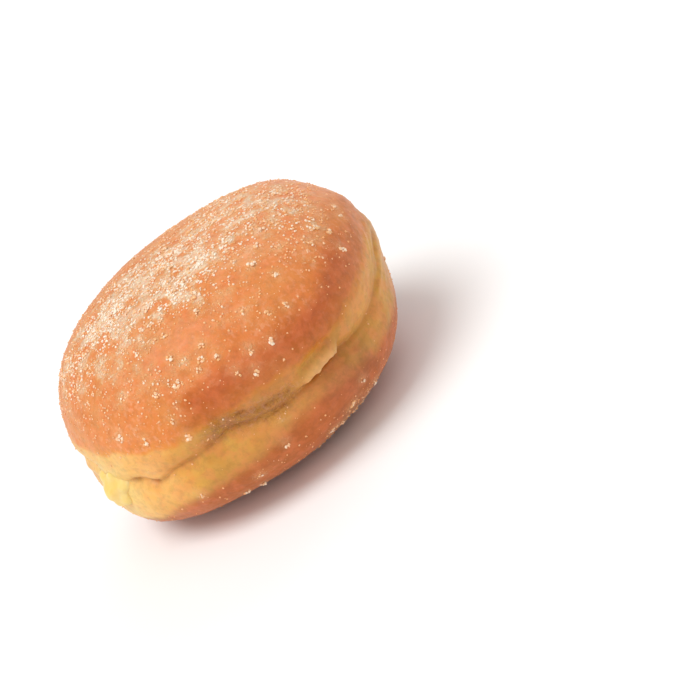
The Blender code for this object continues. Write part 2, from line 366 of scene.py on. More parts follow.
LOOSE_SUGAR_RADIUS = 0.00018
DRIFT_SUGAR_GROWTH = 0.00009
FINENESS = 1.7
FINE_SUGAR_LIFT = 0.3
CLUSTER_SCALE = 16.0

# Photograph's frame and the camera that took it
IMAGE_WIDTH = 700.0
SEAM_MIDDLE_PIXEL = Vector((234.2, 354.2))
IMAGE_MIDDLE_PIXEL = Vector((350.0, 350.0))
CAMERA_ELEVATION = 20.4
CAMERA_ROLL = 37.7
CAMERA_DISTANCE = 0.2458
CAMERA_LENS = 75.7
SENSOR_WIDTH = 36.0
CAMERA_NEAREST = 0.01

# Directions that the light comes from, and how wide it is in degrees
KEY_SOURCE = (-0.38, -0.12, 0.90)
KEY_SPREAD = 40.0
FILL_SOURCE = (-0.10, -0.90, 0.40)
FILL_SPREAD = 60.0
BACK_SOURCE = (0.50, 0.70, 0.50)
BACK_SPREAD = 50.0
WARM_WHITE = (1.0, 0.99, 0.98)
WHITE = (1.0, 1.0, 1.0)
PALE = (0.97, 0.97, 0.97)
BLACK = (0.0, 0.0, 0.0)
FLOOR_HALF_WIDTH = 1.5


def linear(red, green, blue):
    """A colour given on a 0 to 255 scale, as the renderer's linear values."""
    values = []
    for level in (red, green, blue):
        share = level / 255.0
        values.append(share / 12.92 if share <= 0.04045 else ((share + 0.055) / 1.055) ** 2.4)
    return tuple(values)


def smoothstep(low, high, value):
    share = min(1.0, max(0.0, (value - low) / (high - low)))
    return share * share * (3.0 - 2.0 * share)


def course_at(course, turn):
    """The columns of a course at a turn, on a smooth curve that closes on itself."""
    turn = turn % 360.0
    count = len(course)
    after = next((i for i, row in enumerate(course) if row[0] > turn), count)
    rows = []
    for step in (-2, -1, 0, 1):
        laps, index = divmod(after + step, count)
        rows.append((course[index][0] + 360.0 * laps,) + course[index][1:])
    before, start, end, beyond = rows
    span = end[0] - start[0]
    share = (turn - start[0]) / span
    blend = share * share * (3.0 - 2.0 * share)
    values = []
    for column in range(1, len(start)):
        slope_start = (end[column] - before[column]) / (end[0] - before[0]) * span
        slope_end = (beyond[column] - start[column]) / (beyond[0] - start[0]) * span
        value = start[column] * (1.0 - blend) + end[column] * blend
        value += share * (1.0 - share) * ((1.0 - share) * slope_start - share * slope_end)
        values.append(value)
    return values


def in_metres(values):
    return [value * MILLIMETRE for value in values]


def plain_radius(height):
    """Half width of the plain round body at a height from the seam's mean level."""
    reach, fullness = (RISE, FULLNESS_ABOVE) if height > 0.0 else (DROP, FULLNESS_BELOW)
    share = min(1.0, abs(height) / reach)
    return WIDTH / 2.0 * (1.0 - share**fullness) ** (1.0 / fullness)


def direction_at(turn, lift):
    turn, lift = math.radians(turn), math.radians(lift)
    return Vector((math.cos(turn) * math.cos(lift), math.sin(turn) * math.cos(lift), math.sin(lift)))


def bell(distance, reach):
    """A rounded rise and fall, 1 in its middle and about a third at its reach."""
    return math.exp(-((distance / reach) ** 2))


def rough_noise(place, octaves, smoothness=0.8):
    return noise.fractal(place, smoothness, OCTAVE_RATIO, octaves)


def round_spots(rows, widening=1.0):
    """Round spots on the surface, each as its middle's direction, its reach and its strength."""
    return [(direction_at(turn, lift), reach * widening, strength) for turn, lift, reach, strength in rows]


def spots_at(spots, direction):
    """What the spots add up to in a direction."""
    total = 0.0
    for middle, reach, strength in spots:
        angle = math.degrees(math.acos(max(-1.0, min(1.0, direction.dot(middle)))))
        total += strength * bell(angle, reach)
    return total


LUMP_SPOTS = round_spots(LUMPS)
FINE_LUMP_SPOTS = round_spots(FINE_LUMPS)


def spell(turns, turn):
    """How much there is at a turn of something that starts, is full, fades and ends at four turns."""
    start, full, fade, end = turns
    turn = start + (turn - start) % 360.0
    return smoothstep(start, full, turn) * (1.0 - smoothstep(fade, end, turn))


def form_share(form, turn, above):
    """How much there is of a soft form at a turn and a height above the seam."""
    turns, height, half_height = form
    return spell(turns, turn) * bell(above - height, half_height)


def torn_lip(turn, above):
    """The lip as a ridge with a steep lower side, a slanting end and a wavy edge."""
    rise = above - TORN_LIP_HEIGHT
    reach = TORN_LIP_HALF_HEIGHT if rise > 0.0 else TORN_LIP_UNDERCUT
    waves = 1.0 + TORN_LIP_WAVES * rough_noise(Vector((turn * TORN_LIP_WAVES_A_DEGREE, 0.0, 0.0)), 2)
    share = spell(TORN_LIP_TURNS, turn - TORN_LIP_SLANT * above)
    return share * waves * bell(rise, reach)


def along(track, turn):
    """Smooth noise along the seam, on a track with a scale and a place of its own."""
    scale, place = track
    return noise.noise(Vector((turn * scale, place, 0.0)))


def upper_crack(turn, above):
    """The second crack, which winds along above the torn stretch of the crease."""
    path = CRACK_HEIGHT + CRACK_WANDER * along(CRACK_PATH_TRACK, turn)
    depth = CRACK_EVENNESS + along(CRACK_DEPTH_TRACK, turn)
    return spell(CRACK_TURNS, turn) * depth * bell(above - path, CRACK_HALF_HEIGHT)


def pitting(turn):
    """How near a turn is to one of the pits of the crease, beside the hole and below the lip: dents that are
    also darkened with painted shade.
    """
    return max(bell(turn - pit, PIT_REACH) for pit in PIT_TURNS)


def fine_relief(direction, turn, above):
    """Wrinkles beside the crease, torn crumb in its wide stretch, and blisters on the crust."""
    round_body = Vector((direction.x, direction.y, 0.0)) * WRINKLES_ROUND
    climb = Vector((0.0, 0.0, above / MILLIMETRE * WRINKLES_PER_MILLIMETRE))
    near_seam = bell(above, WRINKLE_HALF_HEIGHT)
    relief = WRINKLE_DEPTH * near_seam * noise.noise(round_body + climb)
    crumb = form_share(CRUMB, turn, above)
    if crumb > LEAST_CRUMB:
        relief += CRUMB_DEPTH * crumb * rough_noise(direction * CRUMB_SCALE, 2, smoothness=0.7)
    relief -= CRACK_DEPTH * upper_crack(turn, above)
    relief -= PIT_DEPTH * pitting(turn) * bell(above, PIT_HALF_HEIGHT)
    relief += SKIN_DEPTH * noise.noise(direction * SKIN_SCALE)
    blister = noise.noise(direction * BLISTER_SCALE + UNEVEN_SEED)
    return relief + BLISTER_DEPTH * (1.0 - near_seam) * max(0.0, blister)


def dough_point(direction, fine=False):
    """The point of the dough's surface in a direction from the middle of the seam.

    With fine, also how far it lies above the seam and its height from the seam's mean level.
    """
    direction = direction.normalized()
    flat = math.hypot(direction.x, direction.y)
    turn = math.degrees(math.atan2(direction.y, direction.x)) % 360.0
    reach, fullness = (RISE, FULLNESS_ABOVE) if direction.z > 0.0 else (DROP, FULLNESS_BELOW)
    scale = (flat**fullness + abs(direction.z) ** fullness) ** (-1.0 / fullness)
    radius = WIDTH / 2.0 * flat * scale
    level = reach * direction.z * scale

    # The rows of the mesh follow the seam up and down, and the body keeps its outline
    seam_height, crease_depth, crease_half_width, waist_depth = in_metres(course_at(SEAM_COURSE, turn))
    if fine:
        higher, deeper, wider = in_metres(course_at(CREASE_CHANGES, turn))
        seam_height += higher
        crease_depth += deeper
        crease_half_width += wider
    height = level + seam_height * (1.0 - (level / reach) ** 2) ** 2
    radius += plain_radius(height) - plain_radius(level)
    above = height - seam_height
    radius -= waist_depth * bell(above, WAIST_HALF_HEIGHT)
    if fine:
        rounded = math.hypot(above, CREASE_ROUNDING) - CREASE_ROUNDING
        radius -= crease_depth * CREASE_SHARE * math.exp(-rounded / crease_half_width)
        lip = torn_lip(turn, above)
        radius += TORN_LIP_OUT * lip - LIP_VALLEY_DEPTH * form_share(LIP_VALLEY, turn, above)
        radius += FULL_BELT_OUT * form_share(FULL_BELT, turn, above)
        radius -= TUCK_DEPTH * form_share(TUCK, turn, above)
        height -= TORN_LIP_HANG * lip
    else:
        radius -= crease_depth * math.exp(-abs(above) / crease_half_width)
        lip = form_share(LIP, turn, above)
        radius += LIP_OUT * lip
        height -= LIP_HANG * lip

    swell = SWELL_DEPTH * noise.noise(direction * SWELL_SCALE + UNEVEN_SEED)
    ripple = RIPPLE_DEPTH * noise.noise(direction * RIPPLE_SCALE + UNEVEN_SEED)
    push = swell + ripple + spots_at(LUMP_SPOTS, direction) * MILLIMETRE
    if fine:
        push += spots_at(FINE_LUMP_SPOTS, direction) * MILLIMETRE + fine_relief(direction, turn, above)
    radius += push * flat
    height += push * direction.z

    if height > 0.0:
        offset = SEAM_OFFSET + TOP_LEAN * (height / RISE)
    else:
        offset = SEAM_OFFSET * (1.0 + height / DROP)
    angle = math.radians(turn)
    point = Vector((
        radius * math.cos(angle) + offset.x,
        radius * math.sin(angle) + offset.y,
        max(0.0, height + DROP - REST_CUT),
    ))
    return (point, turn, above, height) if fine else point


def dough_frame(turn, lift, fine=False):
    """A point of the surface with its outward direction and two directions along it."""
    step = 0.5
    point = dough_point(direction_at(turn, lift), fine)
    if fine:
        point = point[0]
    across = dough_point(direction_at(turn + step, lift)) - dough_point(direction_at(turn - step, lift))
    upward = dough_point(direction_at(turn, lift + step)) - dough_point(direction_at(turn, lift - step))
    outward = across.cross(upward).normalized()
    across.normalize()
    return point, outward, across, outward.cross(across)


def crowd_towards_seam(value):
    return value * (SEAM_ROW_CROWDING + (1.0 - SEAM_ROW_CROWDING) * value * value)


def new_piece(name, builder):
    """Turn a bmesh into a named object in the scene and free the bmesh."""
    mesh = bpy.data.meshes.new(name)
    builder.to_mesh(mesh)
    builder.free()
    piece = bpy.data.objects.new(name, mesh)
    bpy.context.scene.collection.objects.link(piece)
    return piece


def apply_modifiers(piece):
    graph = bpy.context.evaluated_depsgraph_get()
    mesh = bpy.data.meshes.new_from_object(piece.evaluated_get(graph))
    piece.modifiers.clear()
    piece.data = mesh


def finish_piece(piece, material, node=None):
    """Give a piece its material and say what it stands for."""
    piece.data.materials.clear()
    piece.data.materials.append(material)
    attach(piece, BODY)
    if node:
        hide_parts(node)


# Materials

# Places of a Mix node's sockets when it mixes colours, because their names repeat
MIX_SHARE, MIX_FIRST, MIX_SECOND = 0, 6, 7
MIX_RESULT = 2


class Nodes:
    """A small helper that adds shader nodes to a material and links them."""

    def __init__(self, name):
        self.material = bpy.data.materials.new(name)
        self.material.use_nodes = True
        self.tree = self.material.node_tree

    def feed(self, node, inputs):
        """Link a node's inputs to the outputs of others, or set them to plain values."""
        for name, value in inputs.items():
            socket = node.inputs[name]
            if isinstance(value, bpy.types.NodeSocket):
                self.tree.links.new(value, socket)
            elif socket.type == "RGBA":
                socket.default_value = (*value, 1.0)
            else:
                socket.default_value = value

    def add(self, kind, inputs=None, **settings):
        node = self.tree.nodes.new(kind)
        for key, value in settings.items():
            setattr(node, key, value)
        self.feed(node, inputs or {})
        return node

    def finish(self, inputs):
        """Set the surface's inputs and return the material."""
        self.feed(self.tree.nodes["Principled BSDF"], inputs)
        return self.material

    def attribute(self, name):
        return self.add("ShaderNodeAttribute", attribute_name=name).outputs["Fac"]

    def noise(self, scale, detail=3.0, roughness=0.6):
        place = self.add("ShaderNodeTexCoord").outputs["Object"]
        inputs = {"Vector": place, "Scale": scale, "Detail": detail, "Roughness": roughness}
        return self.add("ShaderNodeTexNoise", inputs).outputs["Fac"]

    def math(self, operation, *values, clamp=False):
        inputs = dict(enumerate(values))
        return self.add("ShaderNodeMath", inputs, operation=operation, use_clamp=clamp).outputs[0]

    def times(self, first, second, clamp=False):
        return self.math("MULTIPLY", first, second, clamp=clamp)

    def between(self, value, low, high, out_low=0.0, out_high=1.0):
        """Map a value smoothly from one range to another, held at the ends."""
        inputs = {"Value": value, "From Min": low, "From Max": high, "To Min": out_low, "To Max": out_high}
        return self.add("ShaderNodeMapRange", inputs, interpolation_type="SMOOTHSTEP").outputs["Result"]

    def ramp(self, value, stops):
        node = self.add("ShaderNodeValToRGB", {"Fac": value})
        elements = node.color_ramp.elements
        while len(elements) < len(stops):
            elements.new(0.5)
        for element, (position, colour) in zip(elements, stops):
            element.position = position
            element.color = (*colour, 1.0)
        return node.outputs["Color"]

    def mix(self, share, first, second, blend="MIX"):
        inputs = {MIX_SHARE: share, MIX_FIRST: first, MIX_SECOND: second}
        return self.add("ShaderNodeMix", inputs, data_type="RGBA", blend_type=blend).outputs[MIX_RESULT]

    def bump(self, height, distance, strength=1.0, below=None):
        inputs = {"Height": height, "Distance": distance, "Strength": strength}
        if below:
            inputs["Normal"] = below
        return self.add("ShaderNodeBump", inputs).outputs["Normal"]


def skin_colour(nodes, settings, toast, top):
    """The pale belt, the crust with its orange edge and the underside, each by how toasted it is."""
    belt = nodes.ramp(toast, (
        (0.0, settings.belt_pale),
        (0.35, settings.belt_golden),
        (0.8, settings.belt_tan),
        (1.0, settings.belt_brown),
    ))
    mottles = nodes.between(nodes.noise(240.0), 0.46, 0.64)
    belt = nodes.mix(mottles, belt, nodes.mix(1.0, belt, settings.belt_mottle, "MULTIPLY"))
    crust = nodes.ramp(toast, (
        (0.1, settings.crust_light),
        (0.45, settings.crust_middle),
        (0.85, settings.crust_dark),
    ))
    edge = nodes.mix(toast, settings.edge_light, settings.edge_dark)
    crust = nodes.mix(nodes.times(nodes.attribute("orange_edge"), 0.45), crust, edge)
    colour = nodes.mix(nodes.between(top, 0.0, 0.6), belt, edge)
    colour = nodes.mix(nodes.between(top, 0.5, 1.0), colour, crust)

    base = nodes.attribute("base_browning")
    under = nodes.mix(nodes.between(base, 0.4, 1.0), settings.under_golden, settings.under_brown)
    toasted = nodes.mix(0.5, under, settings.under_dark)
    under = nodes.mix(nodes.between(toast, 0.75, 1.0), under, toasted)
    return nodes.mix(nodes.between(base, 0.0, 0.6), colour, under)


def with_blotches(nodes, settings, colour, toast, top, crumb):
    """Rosy blotches, broad and small, and flecks that are thickest on pale crust and torn crumb."""
    rosy = nodes.mix(0.5, colour, settings.blotch_colour)
    blotches = nodes.between(nodes.noise(75.0, roughness=0.55), 0.42, 0.62)
    small_blotches = nodes.between(nodes.noise(420.0), 0.44, 0.62)
    colour = nodes.mix(nodes.times(blotches, 0.35), colour, rosy)
    colour = nodes.mix(nodes.times(small_blotches, 0.5), colour, rosy)
    flecks = nodes.between(nodes.noise(1100.0), 0.50, 0.66)
    flecks = nodes.times(flecks, nodes.math("MULTIPLY_ADD", blotches, 0.25, 0.17))
    flecked = nodes.times(top, nodes.between(toast, 0.3, 0.9, 1.0, 0.2))
    flecked = nodes.math("MAXIMUM", flecked, nodes.times(crumb, 2.0))
    return nodes.mix(nodes.times(flecks, flecked), colour, settings.fleck_colour)


def with_seam(nodes, settings, colour, patches, top, crumb):
    """Pits in the torn crumb, the pale lip with a painted highlight on its ridge, painted shade in the crease
    and custard smeared beside the hole.
    """
    pits = nodes.between(nodes.noise(1100.0, detail=4.0, roughness=0.7), 0.42, 0.58)
    smear = nodes.times(nodes.attribute("smear"), nodes.between(patches, 0.35, 0.6, 0.4, 0.85))
    for share, tint in (
        (nodes.times(crumb, nodes.times(pits, 0.5)), settings.crumb_colour),
        # Pale skin and a painted highlight along the lip's ridge
        (nodes.times(nodes.attribute("lip"), 0.7), settings.lip_and_highlight_colour),
        # Painted shade: darkens the crease along the seam, more at its pits and along the upper crack
        (nodes.times(nodes.attribute("crease"), 0.35), settings.crease_shade_colour),
        (nodes.times(smear, nodes.math("SUBTRACT", 1.0, top)), settings.smear_colour),
    ):
        colour = nodes.mix(share, colour, tint)
    shade = nodes.between(nodes.noise(800.0, detail=5.0, roughness=0.7), 0.3, 0.7, 0.85, 1.10)
    return nodes.mix(1.0, colour, nodes.ramp(shade, ((0.0, BLACK), (1.0, WHITE))), "MULTIPLY")


def film_cover(nodes, film):
    """How much of the skin the sugar film hides: a haze with clumps and granules in it."""
    clumps = nodes.between(nodes.noise(1300.0), 0.38, 0.60, 0.2, 1.0)
    speckled = nodes.math("ADD", nodes.noise(3000.0, detail=2.0, roughness=0.5), nodes.times(film, 0.12))
    granules = nodes.math("MAXIMUM", nodes.between(speckled, 0.50, 0.70), nodes.between(film, 1.4, 2.6))
    granules = nodes.math("MULTIPLY_ADD", nodes.times(clumps, granules), 0.6, 0.4)
    return nodes.times(nodes.times(film, 0.85, clamp=True), granules)


def crust_material(settings):
    """Browned skin above and below, the pale belt between, shade in the crease and a film of sugar."""
    nodes = Nodes("browned_dough")
    top = nodes.attribute("top_browning")
    crumb = nodes.attribute("crumb")
    film = nodes.attribute("sugar_film")
    patches = nodes.noise(160.0, detail=4.0)
    uneven = nodes.times(nodes.math("SUBTRACT", patches, 0.5), 0.5)
    toast = nodes.math("ADD", nodes.attribute("toast"), uneven, clamp=True)

    colour = skin_colour(nodes, settings, toast, top)
    colour = with_blotches(nodes, settings, colour, toast, top, crumb)
    colour = with_seam(nodes, settings, colour, patches, top, crumb)
    cover = film_cover(nodes, film)
    sugar = nodes.mix(nodes.between(film, 0.5, 1.6), settings.film_colour, settings.drift_colour)
    colour = nodes.mix(nodes.times(cover, settings.film_strength), colour, sugar)

    speckle = nodes.noise(1500.0)
    low = nodes.bump(nodes.noise(520.0, detail=4.0), 0.00016, 0.4)
    torn = nodes.times(crumb, nodes.noise(900.0, detail=4.0, roughness=0.7))
    torn = nodes.bump(torn, 0.0012, below=low)
    frosty = nodes.bump(nodes.times(cover, nodes.noise(2000.0)), 0.0004, below=torn)
    return nodes.finish({
        "Base Color": colour,
        "Roughness": nodes.between(speckle, 0.3, 0.7, 0.40, 0.55),
        "Specular IOR Level": 0.4,
        "Subsurface Weight": 0.15,
        "Subsurface Radius": (1.0, 0.45, 0.2),
        "Subsurface Scale": 0.0010,
        "Sheen Weight": 0.15,
        "Sheen Roughness": 0.45,
        "Sheen Tint": (1.0, 0.82, 0.62),
        "Normal": nodes.bump(speckle, 0.00005, 0.5, frosty),
    })


def custard_material(settings):
    """Smooth moist custard, in two yellows that blend as clouds do."""
    nodes = Nodes("yellow_custard")
    cloud = nodes.noise(260.0, roughness=0.55)
    return nodes.finish({
        "Base Color": nodes.mix(nodes.between(cloud, 0.3, 0.7), settings.light, settings.deep),
        "Roughness": nodes.between(cloud, 0.3, 0.7, 0.32, 0.5),
        "Specular IOR Level": 0.35,
        "Subsurface Weight": 0.35,
        "Subsurface Radius": (1.0, 0.75, 0.3),
        "Subsurface Scale": 0.002,
        "Normal": nodes.bump(nodes.noise(900.0, roughness=0.55), 0.0001, 0.4),
    })


def sugar_material(settings):
    """Sugar crystals: some clear, which take on the colour of the crust, and some white."""
    nodes = Nodes("sugar_crystal")
    tint = nodes.between(nodes.attribute("tint"), 0.1, 0.9)
    gloss = nodes.noise(2600.0, detail=2.0, roughness=0.55)
    return nodes.finish({
        "Base Color": nodes.mix(tint, settings.stained, settings.white),
        "Roughness": nodes.between(gloss, 0.3, 0.7, 0.15, 0.4),
        "IOR": 1.54,
        "Subsurface Weight": 0.2,
        "Subsurface Radius": (1.0, 0.8, 0.6),
        "Subsurface Scale": 0.0001,
    })


def floor_material(colour):
    nodes = Nodes("pale_floor")
    tone = nodes.between(nodes.noise(30.0, detail=2.0, roughness=0.55), 0.3, 0.7, 0.985, 1.0)
    return nodes.finish({
        "Base Color": nodes.ramp(tone, ((0.0, BLACK), (1.0, colour))),
        "Roughness": 0.9,
        "Specular IOR Level": 0.1,
    })


# Sugar
# A drift's spread is one standard deviation, as in the draws of its grains
DRIFT_SPOTS = round_spots(SUGAR_DRIFTS, widening=math.sqrt(2.0))


def scattered(draw, turn, lift, spread, near_top=0.2):
    """A random turn and lift near a place, with the turns spread wider towards the top."""
    grain_lift = draw.gauss(lift, spread)
    return draw.gauss(turn, spread / max(near_top, math.cos(math.radians(lift)))), grain_lift


def sugar_places(draw):
    """Turns, lifts and radii of the large grains, patch by patch, with no two touching."""
    hole = dough_point(direction_at(HOLE_TURN, HOLE_LIFT))
    places = []
    for turn, lift, spread, share in SUGAR_PATCHES:
        wanted = len(places) + round(LUMP_SUGAR_COUNT * share)
        for _ in range(TRIES_PER_GRAIN * LUMP_SUGAR_COUNT):
            if len(places) >= wanted:
                break
            grain_turn, grain_lift = scattered(draw, turn, lift, spread)
            radius = draw.uniform(*LUMP_SUGAR_RADII)
            point = dough_point(direction_at(grain_turn, grain_lift))
            seam_level = course_at(SEAM_COURSE, grain_turn)[0] * MILLIMETRE + DROP - REST_CUT
            spaced = all(
                (point - other).length > GRAIN_SPACING * (radius + size)
                for other, size, *_ in places
            )
            if (
                spaced
                and abs(grain_lift) < 90.0
                and point.z > GRAIN_FLOOR_CLEARANCE
                and abs(point.z - seam_level) > GRAIN_CREASE_CLEARANCE
                and (point - hole).length > GRAIN_HOLE_CLEARANCE
            ):
                places.append((point, radius, grain_turn, grain_lift))
    return places


def sugar_tree():
    """The places of the large grains, to look up the nearest one."""
    places = sugar_places(random.Random(LUMP_SUGAR_SEED))
    tree = KDTree(len(places))
    for index, place in enumerate(places):
        tree.insert(place[0], index)
    tree.balance()
    return tree


class CrystalPile:
    """Many small jagged crystals that become one mesh, each with a tint of its own."""

    def __init__(self):
        builder = bmesh.new()
        bmesh.ops.create_icosphere(builder, subdivisions=1, radius=1.0)
        self.corners = [vert.co.copy() for vert in builder.verts]
        self.sides = [[vert.index for vert in face.verts] for face in builder.faces]
        builder.free()
        self.points, self.faces, self.tints = [], [], []

    def add(self, draw, middle, axes, radius, squash, whiteness):
        """Add a crystal with its flat side along the skin."""
        spin = Matrix.Rotation(draw.uniform(0.0, math.tau), 3, "Z")
        turned = Matrix(axes).transposed() @ spin
        first = len(self.points)
        for corner in self.corners:
            swollen = corner * radius * (1.0 + draw.uniform(-GRAIN_JITTER, GRAIN_JITTER))
            swollen.z *= squash
            self.points.append(middle + turned @ swollen)
        self.faces.extend([first + index for index in side] for side in self.sides)
        self.tints.extend([whiteness] * len(self.corners))

    def piece(self, name):
        mesh = bpy.data.meshes.new(name)
        mesh.from_pydata(self.points, [], self.faces)
        mesh.attributes.new("tint", "FLOAT", "POINT").data.foreach_set("value", self.tints)
        piece = bpy.data.objects.new(name, mesh)
        bpy.context.scene.collection.objects.link(piece)
        return piece


def build_sugar_lumps():
    """A huddle of crystals where each of the solid's large grains lies."""
    draw = random.Random(LUMP_SUGAR_SEED)
    places = sugar_places(draw)
    pile = CrystalPile()
    for _, radius, turn, lift in places:
        point, outward, across, upward = dough_frame(turn, lift, fine=True)
        for _ in range(CRYSTALS_PER_LUMP):
            reach = LUMP_REACH * radius * math.sqrt(draw.random())
            angle = draw.uniform(0.0, math.tau)
            aside = across * math.cos(angle) * reach + upward * math.sin(angle) * reach
            rise = outward * draw.uniform(0.0, LUMP_RISE) * (radius - reach)
            size = radius * draw.uniform(*LUMP_CRYSTAL_SHARES)
            middle = point + aside + rise
            whiteness = LUMP_WHITENESS * draw.random()
            pile.add(draw, middle, (across, upward, outward), size, GRAIN_SQUASH, whiteness)
    return pile.piece("sugar_lumps")


def build_fine_sugar(count):
    """Fine grains, thick in the drifts and thin elsewhere, that gather in small clusters."""
    draw = random.Random(FINE_SUGAR_SEED)
    pile = CrystalPile()
    amounts = [thickness * spread * spread for _, _, spread, thickness in SUGAR_DRIFTS]
    while len(pile.faces) < count * len(pile.sides):
        loose = draw.random() < LOOSE_SHARE
        if loose:
            grain_turn = draw.uniform(0.0, 360.0)
            grain_lift = math.degrees(math.asin(draw.uniform(LOWEST_LOOSE_SUGAR, 1.0)))
        else:
            turn, lift, spread, _ = draw.choices(SUGAR_DRIFTS, amounts)[0]
            grain_turn, grain_lift = scattered(draw, turn, lift, spread)
        size = draw.random() ** FINENESS
        shade = draw.random()
        chance = draw.random()
        direction = direction_at(grain_turn, grain_lift)
        cluster = 0.5 + rough_noise(direction * CLUSTER_SCALE, 3)
        if loose and BARE_BELT[0] < grain_lift < BARE_BELT[1]:
            cluster *= BARE_BELT_SHARE
        if abs(grain_lift) < 90.0 and cluster > chance:
            point, outward, across, upward = dough_frame(grain_turn, grain_lift, fine=True)
            thickness = spots_at(DRIFT_SPOTS, direction)
            large = LOOSE_SUGAR_RADIUS + DRIFT_SUGAR_GROWTH * min(1.0, thickness)
            radius = SMALLEST_SUGAR_RADIUS + (large - SMALLEST_SUGAR_RADIUS) * size
            middle = point + outward * radius * FINE_SUGAR_LIFT
            whiteness = min(1.0, shade * (LOOSE_WHITENESS + DRIFT_WHITENESS * thickness))
            pile.add(draw, middle, (across, upward, outward), radius, GRAIN_SQUASH, whiteness)
    return pile.piece("sugar_grains")


# Pieces
def toasting(direction, above, height, course, browned):
    """How toasted the skin is: by the belt's shares below the crust's edge and the crust's above it, where
    the darker collar is partly painted shade.
    """
    upper_edge, crust_toast, upper_belt, lower_belt = course
    belt_toast = lower_belt + (upper_belt - lower_belt) * smoothstep(-BELT_BLEND, BELT_BLEND, above)
    # Darker collar above the crust's edge: partly real browning, partly painted shade where the crust turns
    # down
    collar = bell(max(0.0, height - upper_edge - COLLAR_HEIGHT), COLLAR_REACH)
    crust_toast = TOAST_ON_TOP + (crust_toast - TOAST_ON_TOP) * collar
    patches = TOAST_PATCHES * rough_noise(direction * TOAST_PATCH_SCALE + UNEVEN_SEED, 3)
    return min(1.0, max(0.0, belt_toast + (crust_toast - belt_toast) * browned + patches))


def shape_skin(builder):
    """Blow a finely cut cube up into the ball, and note for the material what lies where."""
    lumps = sugar_tree()
    hole = dough_point(direction_at(HOLE_TURN, HOLE_LIFT))
    layers = defaultdict(list)
    for vert in builder.verts:
        x, y = (math.tan(value * math.pi / 4.0) for value in vert.co.xy)
        direction = Vector((x, y, crowd_towards_seam(vert.co.z))).normalized()
        vert.co, turn, above, height = dough_point(direction, fine=True)
        browning = course_at(BROWNING_COURSE, turn)
        upper_edge, lower_edge, upper_fade, lower_fade = in_metres(browning[:4])
        edge_height = height + EDGE_WANDER * rough_noise(direction * EDGE_WANDER_SCALE, 4)
        browned = smoothstep(-upper_fade, upper_fade, edge_height - upper_edge)
        # Painted shade in the crease, darker at the pits; the upper crack adds its own painted shade below
        shade = math.exp(-abs(above) / CREASE_SHADE_REACH) * (1.0 + PIT_SHADE * pitting(turn))
        ragged = 0.5 + rough_noise(direction * DRIFT_RAGGEDNESS, 4, smoothness=0.7)
        film = max(0.0, FILM_THICKNESS * spots_at(DRIFT_SPOTS, direction) * ragged)
        layers["top_browning"].append(browned)
        layers["base_browning"].append(smoothstep(-lower_fade, lower_fade, lower_edge - edge_height))
        layers["toast"].append(toasting(direction, above, height, (upper_edge, *browning[4:]), browned))
        layers["orange_edge"].append(bell(max(0.0, edge_height - upper_edge), ORANGE_REACH))
        layers["crease"].append(max(min(1.0, upper_crack(turn, above)), shade))
        layers["crumb"].append(form_share(CRUMB, turn, above))
        # The lip layer also places the painted highlight on the lip's ridge
        layers["lip"].append(torn_lip(turn, above))
        layers["sugar_film"].append(film + LUMP_HALO * bell(lumps.find(vert.co)[2], LUMP_HALO_REACH))
        layers["smear"].append(bell((vert.co - hole).length, SMEAR_REACH))
    return layers


def build_dough(settings):
    """The ball with its skin, and the custard's pocket cut out of it."""
    builder = bmesh.new()
    bmesh.ops.create_cube(builder, size=2.0)
    bmesh.ops.subdivide_edges(builder, edges=builder.edges[:], cuts=settings.cuts, use_grid_fill=True)
    layers = shape_skin(builder)
    bmesh.ops.triangulate(builder, faces=builder.faces[:])
    dough = new_piece("dough_crust", builder)
    for name, values in layers.items():
        dough.data.attributes.new(name, "FLOAT", "POINT").data.foreach_set("value", values)
    cutter = build_custard("pocket_cutter", CUSTARD_CUT_GAP)
    modifier = dough.modifiers.new("pocket", "BOOLEAN")
    modifier.operation = "DIFFERENCE"
    modifier.solver = "MANIFOLD"
    modifier.object = cutter
    apply_modifiers(dough)
    bpy.data.objects.remove(cutter, do_unlink=True)
    dough.data.shade_smooth()
    dough.data.set_sharp_from_angle(angle=math.radians(SHARP_RIM_ANGLE))
    return dough


def add_ball(builder, middle, radii, axes):
    """Add a ball squashed to three radii along three axes."""
    turned = Matrix(axes).transposed().to_4x4()
    matrix = Matrix.Translation(middle) @ turned @ Matrix.Diagonal(radii).to_4x4()
    bmesh.ops.create_uvsphere(
        builder,
        u_segments=CUSTARD_SEGMENTS,
        v_segments=CUSTARD_RINGS,
        radius=1.0,
        matrix=matrix,
    )


def add_tapered_rod(builder, start, end, start_radius, end_radius):
    run = end - start
    turned = run.to_track_quat("Z", "Y").to_matrix().to_4x4()
    bmesh.ops.create_cone(
        builder,
        cap_ends=True,
        segments=CUSTARD_SEGMENTS,
        radius1=start_radius,
        radius2=end_radius,
        depth=run.length,
        matrix=Matrix.Translation((start + end) / 2.0) @ turned,
    )


